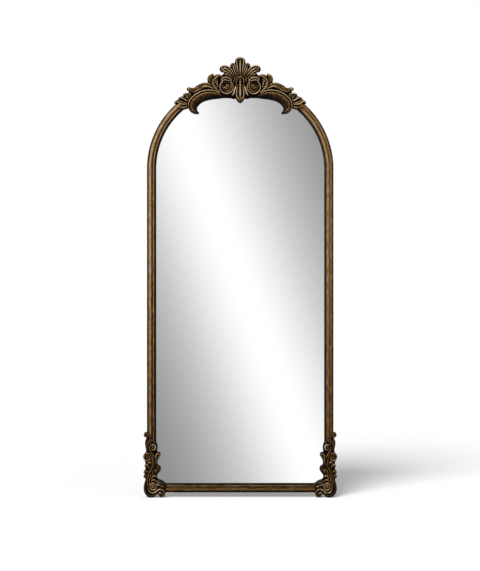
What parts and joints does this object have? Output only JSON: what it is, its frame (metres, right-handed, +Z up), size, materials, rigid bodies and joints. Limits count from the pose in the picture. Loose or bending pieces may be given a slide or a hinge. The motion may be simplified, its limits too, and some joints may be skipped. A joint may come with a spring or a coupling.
{
  "type": "floor mirror",
  "caption": "Tall arched floor mirror in a slim moulded frame with a carved leaf-and-scroll crest, carved scroll feet at the lower corners and swinging hanger rings behind.",
  "frame": {"origin": "on the floor, under the middle of the bounding box", "axes": "+Z up, +X to the right seen from the front, the glass faces -Y"},
  "size_m": [0.854, 0.056, 1.93],
  "materials": {
    "silvered_glass": "polished, silvered behind",
    "film": "matte safety film",
    "board": "bare hardboard",
    "rubber": "matte",
    "steel": "zinc plated",
    "dowel_wood": "bare beech",
    "bronzed_wood": "antique bronze paint, rubbed",
    "bronzed_resin": "antique bronze paint, rubbed"
  },
  "bodies": {
    "mirror": {"mirror_glass": "silvered_glass", "safety_film": "film", "backing_board": "board", "setting_blocks": "rubber", "retainer_clips": "steel", "clip_screws": "steel", "brace_screws": "steel", "corner_braces": "steel", "joint_plates": "steel", "plate_screws": "steel", "frame_dowels": "dowel_wood", "right_hanger_strap": "steel", "left_hanger_strap": "steel", "hanger_screws": "steel", "wall_bumpers": "rubber", "crest_screws": "steel", "corner_screws": "steel", "right_stile": "bronzed_wood", "left_stile": "bronzed_wood", "bottom_rail": "bronzed_wood", "arch_right": "bronzed_wood", "arch_left": "bronzed_wood", "arch_crown": "bronzed_wood", "crest_casting": "bronzed_resin", "right_corner_casting": "bronzed_resin", "left_corner_casting": "bronzed_resin"},
    "right_ring": {"right_hanger_ring": "steel"},
    "left_ring": {"left_hanger_ring": "steel"}
  },
  "joints": [
    {"name": "right_ring_hinge", "type": "hinge", "parent": "mirror", "child": "right_ring", "pos_m": [0.394, 0.0239, 1.34], "axis": [1, 0, 0], "range_deg": [0, 180]},
    {"name": "left_ring_hinge", "type": "hinge", "parent": "mirror", "child": "left_ring", "pos_m": [-0.394, 0.0239, 1.34], "axis": [1, 0, 0], "range_deg": [0, 180]}
  ]
}
